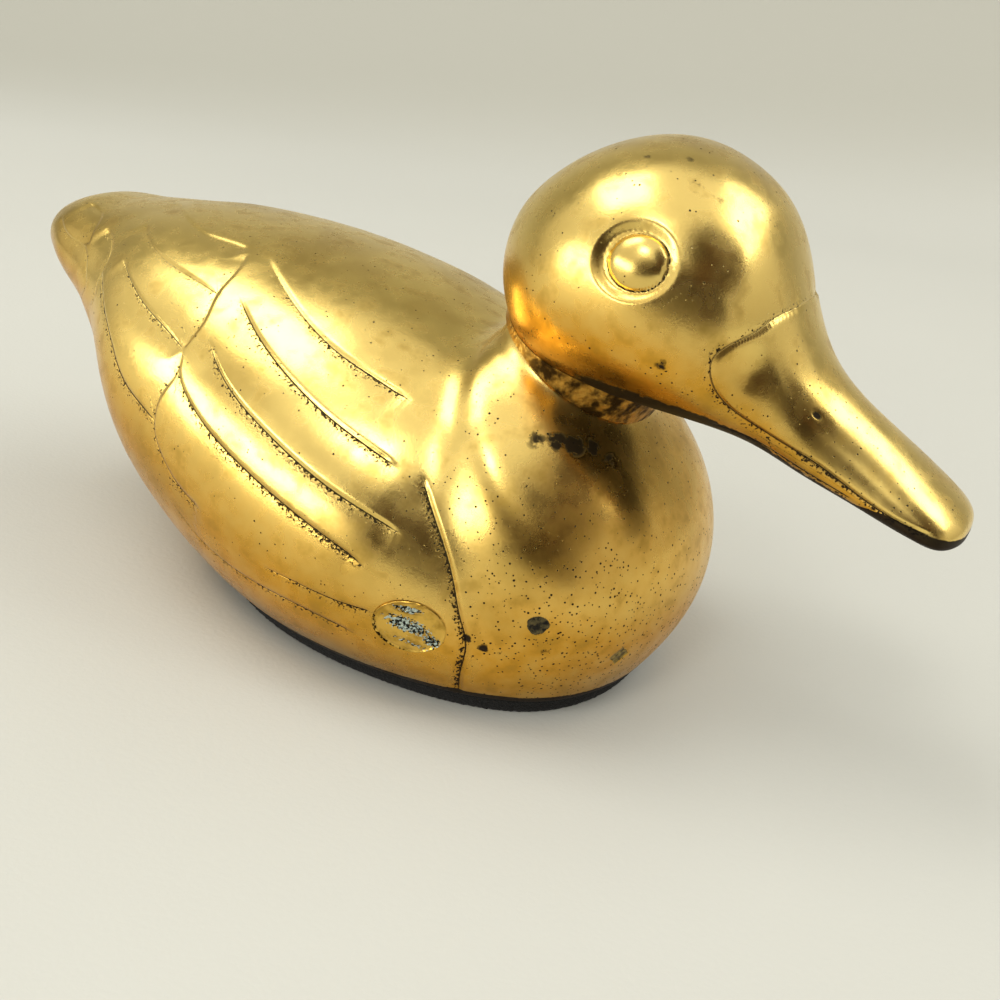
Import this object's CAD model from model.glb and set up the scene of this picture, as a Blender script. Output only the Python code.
import math

import bmesh
import bpy
import numpy as np
from mathutils import Matrix, Vector
from mathutils.bvhtree import BVHTree


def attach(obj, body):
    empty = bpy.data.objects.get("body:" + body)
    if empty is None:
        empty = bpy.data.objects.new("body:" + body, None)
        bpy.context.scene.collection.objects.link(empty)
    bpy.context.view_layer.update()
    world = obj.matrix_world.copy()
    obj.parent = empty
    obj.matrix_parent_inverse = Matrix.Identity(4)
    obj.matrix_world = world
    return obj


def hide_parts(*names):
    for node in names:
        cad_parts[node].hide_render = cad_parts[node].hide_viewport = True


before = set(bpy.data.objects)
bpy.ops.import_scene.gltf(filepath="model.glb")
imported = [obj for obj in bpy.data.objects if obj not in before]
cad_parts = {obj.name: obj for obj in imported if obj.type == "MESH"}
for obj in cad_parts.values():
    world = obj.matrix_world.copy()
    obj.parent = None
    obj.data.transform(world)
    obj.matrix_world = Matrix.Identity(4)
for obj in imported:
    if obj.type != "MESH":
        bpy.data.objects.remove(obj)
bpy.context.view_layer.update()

bl_info = {
    "name": "Brass Duck",
    "version": (1, 0, 0),
    "blender": (4, 5, 0),
    "location": "View3D > Sidebar > Duck",
    "description": "Builds a cast brass duck ornament around its packed model",
    "category": "Add Mesh",
}

MM = 0.001
BODY = "root"

# Main sizes of the duck in millimetres, as in its source
BODY_LENGTH = 128.5
BODY_WIDTH = 78
BACK_HEIGHT = 58
TAIL_TO_HEAD = 90
HEAD_LENGTH = 44.5
HEAD_WIDTH = 44.4
HEAD_HEIGHT = 38
HEAD_LIFT = 48
BILL_LENGTH = 30.5
BILL_WIDTH = 20
BILL_DROOP = 5
NECK_WIDTH = 26.4
FELT_THICKNESS = 2.5
FELT_INSET = 1
EYE_SIZE = 8.2
EYE_MOAT = 1.3
PLUG_SIZE = 3.4
PATCH_LENGTH = 10.4
PATCH_HEIGHT = 8.6
UPPER_FULLNESS_SHARE = 0.62
LOWER_FULLNESS_SHARE = 0.57

OVERALL_LENGTH = TAIL_TO_HEAD + HEAD_LENGTH + BILL_LENGTH
TAIL_X = -OVERALL_LENGTH / 2
HEAD_BACK_X = TAIL_X + TAIL_TO_HEAD
BILL_ROOT_X = HEAD_BACK_X + HEAD_LENGTH
BILL_TIP_X = OVERALL_LENGTH / 2
BILL_TIP_Z = HEAD_LIFT - BILL_DROOP

# Rows: top point along and up, bottom point along and up, half width, height of the widest place
BODY_SECTION_SHARES = [
    (0.000, 0.838, 0.005, 0.748, 0.128, 0.52),
    (0.013, 0.890, 0.025, 0.710, 0.256, 0.52),
    (0.050, 0.928, 0.075, 0.645, 0.374, 0.52),
    (0.105, 0.941, 0.138, 0.552, 0.460, 0.52),
    (0.167, 0.962, 0.206, 0.388, 0.580, 0.51),
    (0.261, 0.991, 0.288, 0.147, 0.785, 0.51),
    (0.409, 0.998, 0.401, -0.031, 0.918, 0.50),
    (0.560, 0.957, 0.560, -0.128, 1.000, 0.48),
    (0.665, 0.893, 0.739, -0.141, 0.964, 0.46),
    (0.693, 0.893, 0.908, -0.079, 0.836, 0.46),
    (0.707, 0.910, 1.000, 0.250, 0.733, 0.45),
    (0.714, 0.941, 0.981, 0.545, 0.523, 0.45),
]
NECK_SECTION_SHARES = [
    (0.061, 0.247, 0.560, -0.079, 1.060, 0.50),
    (0.115, 0.368, 0.560, 0.237, 1.000, 0.50),
]
HEAD_SECTION_SHARES = [
    (0.011, 0.568, 0.002, 0.411, 0.153, 0.50),
    (0.043, 0.663, 0.016, 0.332, 0.342, 0.49),
    (0.124, 0.784, 0.070, 0.200, 0.586, 0.48),
    (0.281, 0.921, 0.218, 0.047, 0.865, 0.46),
    (0.483, 1.000, 0.447, 0.005, 1.000, 0.45),
    (0.699, 0.963, 0.694, 0.000, 0.973, 0.44),
    (0.883, 0.816, 0.874, -0.010, 0.802, 0.42),
    (0.996, 0.584, 1.004, -0.042, 0.595, 0.42),
]
HEAD_BACK_SHARE = 0.49
BILL_SECTION_SHARES = [
    (0.177, 0.474, 0.203, 0.047, 1.100, 0.40),
    (0.518, 0.284, 0.492, -0.005, 1.000, 0.36),
    (0.833, 0.137, 0.807, -0.053, 0.990, 0.36),
    (0.944, 0.079, 0.931, -0.058, 0.800, 0.38),
    (0.990, 0.042, 0.987, -0.037, 0.440, 0.42),
]

# Lines seen square to a plane that leans over the flank, in millimetres. Each has its points, its depth
# and its darkness at both ends, and how far the low side rises back. Its left side is the high one
WING_LINES = [
    ([(-29.7, 30), (-23.5, 25.5), (-15.6, 20.6), (-6.8, 17), (-0.9, 15.8), (4.6, 14.9)],
     (0.3, 0.55), (0.1, 0.8), 2.4),
    ([(-27.7, 20.6), (-22.4, 16.4), (-11.2, 10), (-5, 7.6), (7.7, 4.7)], (0.3, 0.6), (0.5, 0.9), 2.6),
    ([(-27.6, 11.7), (-23.2, 7.6), (-11.9, 1.7), (1, -2.2), (11.3, -3.4)], (0.4, 0.6), (0.5, 0.8), 2.6),
    ([(-31.2, 8.8), (-30.2, 5.4), (-27.1, 2.3), (-15.2, -3.6), (-1.4, -7.6), (7.5, -9.3)],
     (0.5, 0.85), (0.4, 1), 2.8),
]
REAR_LINES = [
    ([(-32.8, 29.3), (-31.3, 24.5), (-31.1, 19.3), (-30.2, 14.4), (-31.3, 9.1)], (0.3, 0.5), (0.05, 0.25), 4),
    ([(-31.3, 9.1), (-30.8, 5.3), (-32.9, 1.6), (-33.5, -1), (-33.1, -3.5), (-31.5, -5.5), (-28.4, -8),
      (-22.1, -10.7)], (0.5, 0.5), (0.3, 0.45), 4),
    ([(-59, 38.6), (-49.6, 33.2), (-42.7, 30.6), (-37.5, 30.3), (-33.4, 30)], (0.25, 0.3), (0, 0.1), 4),
    ([(-56.3, 30.2), (-50.3, 25.5), (-43.3, 22.4), (-36.8, 20.8), (-31, 19.5)], (0.3, 0.45), (0, 0.4), 4),
    ([(-53.3, 21.4), (-47.6, 17.1), (-41.4, 13.5), (-35.8, 11.1), (-31.3, 9.1)], (0.35, 0.4), (0.4, 0.5), 4),
    ([(-57.6, 19.1), (-52.6, 12.9), (-46.7, 6.8), (-42.9, 3), (-37.3, -0.1), (-33.8, -1.6)],
     (0.4, 0.45), (0.5, 0.7), 4),
    ([(-76.5, 28), (-70.5, 24), (-65, 22.3), (-62.8, 19.2), (-61.5, 15.8)], (0.4, 0.4), (0.1, 0.2), 3),
    ([(-73.8, 32.5), (-67.9, 29.9), (-65.7, 25.4), (-64.8, 23.2)], (0.35, 0.35), (0, 0.1), 3),
    ([(-63.5, 27.3), (-58.5, 23.5), (-57, 19.2), (-57.5, 16.3), (-57.1, 13.5)], (0.4, 0.4), (0.2, 0.3), 3),
]

# Lines seen straight from the side
SIDE_LINES = [
    ([(11.5, 37.5), (14.2, 33.8), (17.2, 29.6), (20.2, 24.4), (22.3, 19), (23.7, 14.6), (23.2, 9.5),
      (22.2, 4)], (0.7, 0.7), (0.85, 1), 1.6),
    ([(-30.5, 20.9), (-23.2, 16.2), (-12.6, 13.8), (-2.4, 13.2), (7.1, 12)], (0.25, 0.3), (0.3, 0.7), 1.5),
    ([(-9, 18), (-2.2, 17.6), (3.1, 17.1), (10, 16.9)], (0.2, 0.4), (0.3, 0.8), 1.2),
]
HEAD_LINES = [
    ([(56.5, 70.2), (54.6, 69.2), (52.6, 68.2), (51.4, 67.5), (50.5, 66.3), (48.1, 64.2), (46.4, 62),
      (46.4, 60), (47.4, 57.2), (49.1, 54.9), (51.8, 52.9), (55.2, 51.4), (60.5, 49.8), (67.5, 46.9),
      (73, 45.2), (78.5, 44.3)], (0.45, 0.5), (0.3, 0.9), 1.6),
    ([(46, 51.2), (49.4, 50.5), (54.7, 49.1), (60.9, 47.3), (66.9, 45.8)], (0.25, 0.25), (0.7, 0.8), 0.8),
]

# Marks of heat, soot, rough casting and hollows: place, radius and strength
HEAT_PLACES = [
    (30.3, -8, 46.8, 2.6, 0.9), (27.5, -13, 47.2, 4, 0.45), (23, -16, 48, 3, 0.3), (24, -31, 19, 2.5, 0.3),
]
SOOT_PLACES = [
    (26.6, -18.4, 43.6, 2.1, 1.0), (28.8, -17, 43.4, 2.3, 1.0), (30.8, -14.6, 43.0, 2.1, 0.9),
    (24.4, -20.4, 43.8, 2.0, 0.7), (32.8, -13, 41.2, 2.4, 0.7), (31.2, -4.6, 46.4, 0.9, 1),
    (23.8, -32, 15.6, 0.9, 0.95), (26.2, -31.1, 14.4, 1, 0.95), (28.4, -30.4, 14.3, 0.7, 0.8),
    (34.2, -27.1, 15.2, 0.9, 0.9),
]
PITTED_PLACES = [
    (23.5, -32.1, 15.4, 2, 0.9), (27.1, -30.7, 14.5, 2, 0.8), (30.5, -29.7, 15, 2, 0.7),
    (34.2, -27.1, 15.2, 2, 0.7), (40.1, -21.6, 17.3, 1.6, 0.7), (37, -23, 27, 9, 0.7), (42, -18, 20, 7, 0.6),
    (-18.6, -36.8, 16.5, 3, 0.6), (-20, -28, 47, 3.5, 0.5),
]
HEAD_SPOTS = [
    (24.4, -16.7, 79, 1, 0.62), (29.2, -11, 83.9, 1.3, 0.55), (34.3, -8.6, 84.5, 1.1, 0.55),
    (27.1, -14.4, 81.8, 0.8, 0.5), (42.5, -7.6, 81.6, 1.8, 0.5), (45.3, -6.2, 79.8, 1.5, 0.5),
    (40.3, -20.5, 59.9, 1.2, 0.75), (37.5, -12, 82.3, 2.4, 0.45), (40.6, -11.8, 81, 2.2, 0.4),
    (24.2, -18.1, 77.3, 0.7, 0.5),
]
HEAD_HEAT = [(41, -20, 60, 3.5, 0.25), (50, -14, 57, 3, 0.35), (46, -18.5, 70, 5, 0.2)]
HEAD_PITTED = [(52, 11, 51, 4, 0.6), (64, 9, 49, 5, 0.7), (72, 8.5, 46.5, 5, 0.8), (58, 8, 56, 4, 0.3)]
HOLLOW_PLACES = [(50, 13.5, 60.5, 3.2, 1.0)]

# Torn streaks of the patch: middle along and up from the patch's own, half length, half height, tilt
# and strength
PATCH_STREAKS = [
    (-0.2, 0.4, 3.6, 1.3, -0.22, 1.0), (-0.4, 3.0, 2.4, 0.6, -0.05, 0.85), (3.4, -1.7, 1.5, 1.0, -0.5, 1.0),
    (0.2, -2.6, 3.6, 0.5, -0.3, 0.6),
]

# Shape of the skin in millimetres
TAIL_ROUNDING = 3
TAIL_STEPS = 24
TAIL_TIP_SHARE = 0.02    # smallest ring of the tail, as a share of a full one
END_ROWS = 3             # sections mirrored beyond each end of the head, to close it round
END_SQUEEZE = 0.6        # how much closer the rings stand near both ends of the head
FOOT_ROUNDING = 0.7
WELD = 0.002
FAR_OFF = 9.0            # stands for no line near

# Feather and bill lines
LINE_END = 0.8           # how far a line fades out past its last point
LINE_ROUNDING = 0.34     # rounding of the high side
LINE_REACH = (2.2, 1.5)  # distances at which the darkness of a line is gone and is full
LINE_FADE_IN = (-0.02, 0.12)     # share of a line over which it sets in
LINE_FADE_OUT = (-0.03, 0.05)
LINE_POINTS = 90
POINTS_AT_ONCE = 20000
FLANK_OUT = (10, 20)     # distance from the middle plane over which the side lines set in
FLANK_SHARE = 0.3
LEAN = math.sqrt(0.5)    # slope of the plane in which the wing lines are drawn

# Eye, nostril and cheek. The hollow round the eye and its line are in radii of the eye
EYE_X = HEAD_BACK_X + 0.60 * HEAD_LENGTH
EYE_Z = HEAD_LIFT + 0.645 * HEAD_HEIGHT
EYE_FLATNESS = 0.88
EYE_DEPTH = 0.9
EYE_DOME = 0.5
EYE_SIDE = 8             # least distance of the eye from the middle plane
MOAT_SHIFT = 0.5
MOAT_EDGE = 1.06
MOAT_SPREAD = 1.5
MOAT_END = 1 + EYE_MOAT / (EYE_SIZE / 2) * MOAT_SPREAD
MOAT_REACH = 2
MOAT_RIPPLE = 0.1
RIPPLES = (7, 6)         # of the hollow's ring, along and up, in radians a millimetre
EYE_LINE = 1.03
EYE_LINE_HALF_WIDTH = 0.1
EYE_LINE_REACH = 1.7
EYE_SHADE = 0.35         # least darkness of the eye's line, on its upper left
EYE_SHADE_SPAN = (-2, 4) # from the upper left to the lower right of its middle
NOSTRIL_X = HEAD_BACK_X + 1.17 * HEAD_LENGTH
NOSTRIL_Z = HEAD_LIFT + 0.2 * HEAD_HEIGHT
NOSTRIL_TURN = (0.85, 0.53)      # cosine and sine of its tilt of 32 degrees
NOSTRIL_HALF_LENGTH = 0.75
NOSTRIL_HALF_HEIGHT = 0.38
NOSTRIL_DEPTH = 0.14
NOSTRIL_SOOT = 0.9
BILL_SIDE = 4            # least distance of a nostril from the middle plane
HOLLOW_DEPTH = 0.7
HEAD_LINE_OUT = (2.5, 6)
HEAD_LINE_SHARE = 0.25   # depth of the bill's lines where they cross the middle plane

# Where the finish changes. Each pair says where the change starts and is full: a place in millimetres,
# or how far the skin faces up, where -1 faces down
BODY_AMBER_FACING = (0.45, -0.25)
BREAST_AMBER = 0.6
BREAST_AMBER_ALONG = (20, 34)
BREAST_AMBER_UP = (50, 42)
FRONT_PITTED = 0.25
FRONT_PITTED_ALONG = (0, 20)
BREAST_PITTED = 0.6
BREAST_PITTED_ALONG = (15, 35)
BREAST_PITTED_FACING = (0.5, 0)
FOOT_SOOT_UP = (4.5, 4.1)
HEAD_AMBER_FACING = (0.35, -0.35)
HEAD_PITTED_SHARE = 0.35
HEAD_PITTED_FACING = (0, -0.5)
UNDER_HEAD_FACING = (-0.66, -0.82)
UNDER_HEAD_ALONG = (22, 30)
UNDER_BILL_ALONG = (56, 60)
UNDER_BILL_EDGE = (-0.3, 0.2)
UNDER_BILL_START = (58, 44.8)    # lower edge of the polish, along and up
UNDER_BILL_FALL = 0.2
UNDER_BILL_RISE = 3.4
UNDER_BILL_RISE_ALONG = (60, 74)

# Core pins and patch, set into the skin
PIECE_SINK = 0.3
PIN_DEPTH = 2
PIN_RINGS = 14
PIN_POINTS = 64
PIN_EDGE = (1.0, 0.8)    # in radii of the pin
PIN_LOBES = 0.05
PIN_EDGE_DROP = 0.25
PIN_SINK = 0.12
PIN_DENT = 0.05
SQUARE_SHARE = 0.8
SQUARE_REACH = PLUG_SIZE * SQUARE_SHARE * math.sqrt(0.5)
PIN_CENTRE_SHARE = 0.78
PIN_PLACES = [(28, 0.345, False), (56, 0.22, True)]
PATCH_X = TAIL_X + 0.764 * BODY_LENGTH
PATCH_Z = 0.27 * BACK_HEIGHT
PATCH_DEPTH = 1
PATCH_RINGS = 40
PATCH_POINTS = 160
PATCH_EDGE = (1.0, 0.92)
PATCH_CROWN = 0.02
STREAK_DEPTH = 0.14
RIM_DEPTH = 0.2
RIM_OUT = (0.84, 0.97)
RIM_TURN = 0.6
RIM_ROUND = (0.1, -0.8)

# Felt: its levels up from the floor, each with how far it stands back, and its fluff
FELT_LEVELS = [
    (0.0, 0.35), (0.15, 0.1), (0.5, 0), (1.0, 0.05), (1.5, 0.08), (2.0, 0.03), (2.35, 0.05), (2.5, 0.2),
]
FELT_POINTS = 720
FELT_WINDOW = 0.02       # in radians, over which the farthest point of the foot is taken
FELT_FLUFF = 0.10
FELT_FINE_FLUFF = 0.06

# Sizes of the patterns in the finishes, in millimetres
CLOUD_SIZE = 16
TARNISH_SIZE = 3.2
GRAIN_SIZE = 0.42        # coarser than the sand of the mould, so that it shows
SMOKE_SIZE = 1.3
BRAZE_BURN_SIZE = 2.0
BRAZE_TONE_SIZE = 1.6
BRAZE_RIPPLE_SIZE = 0.7
RUST_SIZE = 0.8
TORN_SIZE = 0.36
GLINT_SIZE = 0.5
RUB_SIZE = 2.0
FIBRE_SIZE = 0.25        # coarser than wool, so that it shows
SHEET_TONE_SIZE = 6
SHEET_SCUFF_SIZE = 1.5
SOLDER_TONE_SIZE = 1.2
SOLDER_FROST_SIZE = 0.6
PAPER_TONE_SIZE = 180
PAPER_GRAIN_SIZE = 0.9
CLOTH_FOLD_SIZE = 160

# Sockets of a Mix node that mixes colours
MIX_FIRST = 6
MIX_SECOND = 7
MIX_COLOUR = 2

# Camera of the photograph: turn, tilt and roll in degrees, distance and aim in millimetres
CAMERA_TURN = 24.4
CAMERA_TILT = 25.33
CAMERA_ROLL = 9.18
CAMERA_DISTANCE = 226.2
CAMERA_AIM = (5.28, 12.41, 15.7)
CAMERA_FOCAL_PX = 1262.85
CAMERA_NEAR = 0.01
IMAGE_PX = 1000
SENSOR_MM = 36

# Stage in metres, and its directions in degrees
SWEEP_FRONT = -1.6
SWEEP_BEND_START = 0.35
SWEEP_BEND_RADIUS = 0.5
SWEEP_BEND_STEPS = 24
SWEEP_FIRST_TURN = 0.1
SWEEP_HEIGHT = 1.6
SWEEP_HALF_WIDTH = 2
SWEEP_SHADE_LEAN = 0.25
SWEEP_SHADE_START = 350.0
SWEEP_SHADE_END = 520.0
LAMP_AIM = Vector((0, 0, 0.045))
CARD_DISTANCE = 0.75
CARD_POINTS = 48
CARD_DISCS = ((-60, 8, 40, 25), (-18, 39, 25, 21))    # turn, height, half width and half height
# Lamps: name, turn and height, distance, width and height of the lamp, brightness and colour
LAMPS = (
    ("long_window", -121, 9, 0.85, 0.8, 0.22, 5.6, "#FFFFFB"),
    ("key_lamp", -84, 52, 0.9, 0.22, 0.22, 7.0, "#FFFFFA"),
    ("right_lamp", 36, 44, 0.9, 0.8, 0.36, 3.6, "#FFFFFA"),
    ("left_lamp", -165, 62, 0.9, 0.5, 0.5, 4.2, "#FFFFFA"),
)


def placed_sections(shares, start_x, length, start_z, height, width):
    """Turn rows of shares into rows of real places and sizes."""
    return [
        (start_x + top_x * length, start_z + top_z * height, start_x + low_x * length,
         start_z + low_z * height, side * width / 2, widest)
        for top_x, top_z, low_x, low_z, side, widest in shares
    ]


def finer(rows):
    """Put one more section between each two, on a smooth curve through their neighbours."""
    before_first = [2 * a - b for a, b in zip(rows[0], rows[1])]
    after_last = [2 * a - b for a, b in zip(rows[-1], rows[-2])]
    chain = [before_first] + rows + [after_last]
    result = []
    for p0, p1, p2, p3 in zip(chain, chain[1:], chain[2:], chain[3:]):
        between = tuple((9 * (b + c) - a - d) / 16 for a, b, c, d in zip(p0, p1, p2, p3))
        result += [p1, between]
    return result + [rows[-1]]


def smooth_curve(places, values, steps):
    """A natural cubic spline through rows of values, read at even steps."""
    places, values = np.array(places, float), np.array(values, float)
    gaps = np.diff(places)
    size = len(places)
    left = np.eye(size)
    right = np.zeros_like(values)
    for i in range(1, size - 1):
        left[i, i - 1:i + 2] = gaps[i - 1], 2 * (gaps[i - 1] + gaps[i]), gaps[i]
        slopes = (values[i + 1] - values[i]) / gaps[i] - (values[i] - values[i - 1]) / gaps[i - 1]
        right[i] = 6 * slopes
    bend = np.linalg.solve(left, right)
    where = np.asarray(steps, float)
    k = np.clip(np.searchsorted(places, where, "right") - 1, 0, size - 2)
    h = gaps[k][:, None]
    a = (places[k + 1] - where)[:, None] / h
    b = (where - places[k])[:, None] / h
    return (a * values[k] + b * values[k + 1]
            + ((a ** 3 - a) * bend[k] + (b ** 3 - b) * bend[k + 1]) * h ** 2 / 6)


def row_distances(rows):
    """Distance along a run of sections, as the mean travel of their top, bottom and side points."""
    rows = np.array(rows, float)
    top, low = rows[:, 0:2], rows[:, 2:4]
    side = np.column_stack([(top + low) / 2, rows[:, 4]])
    travel = sum(np.linalg.norm(np.diff(line, axis=0), axis=1) for line in (top, low, side)) / 3
    return np.concatenate([[0], np.cumsum(travel)])


def bezier(points, count):
    """Points on a cubic curve, for many curves at once."""
    t = np.linspace(0, 1, count)[None, :, None]
    p0, p1, p2, p3 = (p[:, None, :] for p in points)
    return (1 - t) ** 3 * p0 + 3 * (1 - t) ** 2 * t * p1 + 3 * (1 - t) * t * t * p2 + t ** 3 * p3


def section_rings(rows, quarter):
    """The outlines of many sections: rings of points from the top down the right side and up the left."""
    rows = np.asarray(rows, float)
    top, low = rows[:, 0:2], rows[:, 2:4]
    half, widest = rows[:, 4], rows[:, 5]

    def flat(y, up):
        return np.column_stack([y, up])

    zero, one = np.zeros(len(rows)), np.ones(len(rows))
    upper = bezier((flat(zero, one), flat(UPPER_FULLNESS_SHARE * half, one),
                    flat(half, widest + UPPER_FULLNESS_SHARE * (1 - widest)), flat(half, widest)), quarter)
    lower = bezier((flat(half, widest), flat(half, widest * (1 - LOWER_FULLNESS_SHARE)),
                    flat(LOWER_FULLNESS_SHARE * half, zero), flat(zero, zero)), quarter)
    right = np.concatenate([upper, lower[:, 1:]], axis=1)
    left = right[:, 1:-1][:, ::-1] * np.array([-1, 1])
    ring = np.concatenate([right, left], axis=1)
    along = low[:, None, :] + (top - low)[:, None, :] * ring[:, :, 1:2]
    return np.stack([along[:, :, 0], -ring[:, :, 0], along[:, :, 1]], axis=2)


def grid_normals(rings):
    """Unit normals of a grid of closed rings, pointing out."""
    across = np.roll(rings, -1, axis=1) - np.roll(rings, 1, axis=1)
    along = np.gradient(rings, axis=0)
    normals = np.cross(across, along)
    size = np.linalg.norm(normals, axis=2, keepdims=True)
    return normals / np.maximum(size, 1e-9)


def trunk_rings(steps, quarter):
    """The body and neck as a grid of points in millimetres, rounded at the tip of the tail."""
    body = placed_sections(BODY_SECTION_SHARES, TAIL_X, BODY_LENGTH, 0, BACK_HEIGHT, BODY_WIDTH)
    neck = placed_sections(NECK_SECTION_SHARES, HEAD_BACK_X, HEAD_LENGTH, HEAD_LIFT, HEAD_HEIGHT, NECK_WIDTH)
    rows = finer(body + neck)
    places = row_distances(rows)
    tip = np.linspace(0, TAIL_ROUNDING, TAIL_STEPS, endpoint=False)
    read_at = np.concatenate([tip, np.linspace(TAIL_ROUNDING, places[-1], steps)])
    rings = section_rings(smooth_curve(places, rows, read_at), quarter)
    shrink = np.sqrt(1 - (1 - (read_at / TAIL_ROUNDING).clip(max=1)) ** 2).clip(min=TAIL_TIP_SHARE)
    middle = rings.mean(axis=1, keepdims=True)
    return middle + (rings - middle) * shrink[:, None, None]


def face_rings(steps, quarter):
    """The head and bill as a grid of points in millimetres, closed round at both ends."""
    head = placed_sections(HEAD_SECTION_SHARES, HEAD_BACK_X, HEAD_LENGTH, HEAD_LIFT, HEAD_HEIGHT, HEAD_WIDTH)
    bill = placed_sections(BILL_SECTION_SHARES, BILL_ROOT_X, BILL_LENGTH, BILL_TIP_Z, HEAD_HEIGHT, BILL_WIDTH)
    back_z = HEAD_LIFT + HEAD_BACK_SHARE * HEAD_HEIGHT
    back = (HEAD_BACK_X, back_z, HEAD_BACK_X, back_z, 0, head[0][5])
    tip = (BILL_TIP_X, BILL_TIP_Z, BILL_TIP_X, BILL_TIP_Z, 0, bill[-1][5])
    rows = [back] + head + bill + [tip]

    def mirrored(row):
        return (row[2], row[3], row[0], row[1], -row[4], 1 - row[5])

    before_back = [mirrored(row) for row in rows[END_ROWS:0:-1]]
    after_tip = [mirrored(row) for row in rows[-2:-2 - END_ROWS:-1]]
    longer = before_back + rows + after_tip
    places = row_distances(longer)
    start, end = places[END_ROWS], places[-1 - END_ROWS]
    even = np.linspace(-1, 1, steps)
    read_at = (start + end) / 2 + (end - start) / 2 * np.sin(even * np.pi / 2) * END_SQUEEZE
    read_at = read_at + (end - start) / 2 * even * (1 - END_SQUEEZE)
    rings = section_rings(smooth_curve(places, longer, read_at), quarter)
    rings[0], rings[-1] = rings[0].mean(axis=0), rings[-1].mean(axis=0)
    return rings


def smooth_steps(values, start, full):
    """0 at start, 1 at full, which may be the smaller, and a smooth change between them."""
    t = ((values - start) / (full - start)).clip(0, 1)
    return t * t * (3 - 2 * t)


def dense_line(points):
    """A smooth line through a few points, as many close points."""
    points = np.array(points, float)
    places = np.concatenate([[0], np.cumsum(np.linalg.norm(np.diff(points, axis=0), axis=1))])
    return smooth_curve(places, points, np.linspace(0, places[-1], LINE_POINTS))


def nearest_points(places, line):
    """For each place, the number of the nearest point of a line."""
    nearest = np.empty(len(places), int)
    for first in range(0, len(places), POINTS_AT_ONCE):
        part = slice(first, first + POINTS_AT_ONCE)
        nearest[part] = ((places[part, None] - line[None]) ** 2).sum(axis=2).argmin(axis=1)
    return nearest


def stepped_lines(plane, lines, depth_share):
    """How lines mark a surface: its lowering, and the distance and darkness of the nearest line.

    The surface is high on the left of a line and low on its right, where it rises back slowly.
    """
    shape = plane.shape[:-1]
    plane = plane.reshape(-1, 2)
    lowering, edge = np.zeros(len(plane)), np.full(len(plane), FAR_OFF)
    dark = np.zeros(len(plane))
    for points, depths, darks, rise in lines:
        line = dense_line(points)
        reach = FAR_OFF + rise
        inside = ((plane > line.min(axis=0) - reach) & (plane < line.max(axis=0) + reach)).all(axis=1)
        near = np.flatnonzero(inside)
        k = nearest_points(plane[near], line)
        tangent = np.gradient(line, axis=0)
        tangent /= np.linalg.norm(tangent, axis=1, keepdims=True)
        offset = plane[near] - line[k]
        beside = tangent[k, 0] * offset[:, 1] - tangent[k, 1] * offset[:, 0]
        ahead = (offset * tangent[k]).sum(axis=1)
        beyond = np.where(k == 0, -ahead, np.where(k == len(line) - 1, ahead, 0)).clip(min=0)
        share = k / (len(line) - 1)
        fade = np.exp(-(beyond / LINE_END) ** 2)
        fade = fade * smooth_steps(share, *LINE_FADE_IN) * smooth_steps(1 - share, *LINE_FADE_OUT)
        here = depth_share * (depths[0] + (depths[1] - depths[0]) * share) * fade
        profile = np.where(beside < 0, np.exp(beside / rise), np.exp(-(beside / LINE_ROUNDING) ** 2))
        lowering[near] = np.maximum(lowering[near], here * profile)
        closer = (np.abs(beside) < np.abs(edge[near])) & (beyond < LINE_END * 2)
        edge[near[closer]] = beside[closer]
        dark[near[closer]] = ((darks[0] + (darks[1] - darks[0]) * share) * fade)[closer]
    dark = dark * smooth_steps(np.abs(edge), *LINE_REACH)
    return lowering.reshape(shape), edge.reshape(shape), dark.reshape(shape)


def nearer(lines_a, lines_b):
    """Join two results of stepped_lines: the deeper lowering, and the marks of the nearer line."""
    closer = np.abs(lines_b[1]) < np.abs(lines_a[1])
    joined = [np.maximum(lines_a[0], lines_b[0])]
    return joined + [np.where(closer, b, a) for a, b in zip(lines_a[1:], lines_b[1:])]


def blots(points, places):
    """Soft round marks on a surface: each has its place, radius and strength."""
    result = np.zeros(points.shape[:-1])
    for x, y, z, radius, strength in places:
        distance = ((points - (x, y, z)) ** 2).sum(axis=-1)
        result = np.maximum(result, strength * np.exp(-distance / radius ** 2))
    return result


def waviness(points, height):
    """Slow waves left by hand polishing, from 0 up to twice the height. Their lengths are in millimetres."""
    x, y, z = points[..., 0], points[..., 1], points[..., 2]
    waves = (np.sin(x / 5.3 + y / 7.9 + 1) + np.sin(y / 4.7 - z / 6.1 + 2) + np.sin(z / 5.7 + x / 9.1)
             + 0.5 * np.sin(x / 2.9 - z / 3.3 + y / 4.1))
    return height * waves / 3.5 + height


def grid_object(name, rings, layers):
    """A closed mesh of a grid of rings, with numbers on its points."""
    steps, around = rings.shape[:2]
    i, j = np.meshgrid(np.arange(steps - 1), np.arange(around), indexing="ij")
    next_j = (j + 1) % around
    corners = (i * around + j, (i + 1) * around + j, (i + 1) * around + next_j, i * around + next_j)
    quads = np.stack(corners, 2)
    mesh = bpy.data.meshes.new(name)
    mesh.from_pydata((rings.reshape(-1, 3) * MM).tolist(), [], quads.reshape(-1, 4).tolist())
    for layer, values in layers.items():
        attribute = mesh.attributes.new(layer, "FLOAT", "POINT")
        attribute.data.foreach_set("value", values.ravel().astype(np.float32))
    piece = bpy.data.objects.new(name, mesh)
    bpy.context.scene.collection.objects.link(piece)
    return piece


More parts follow.
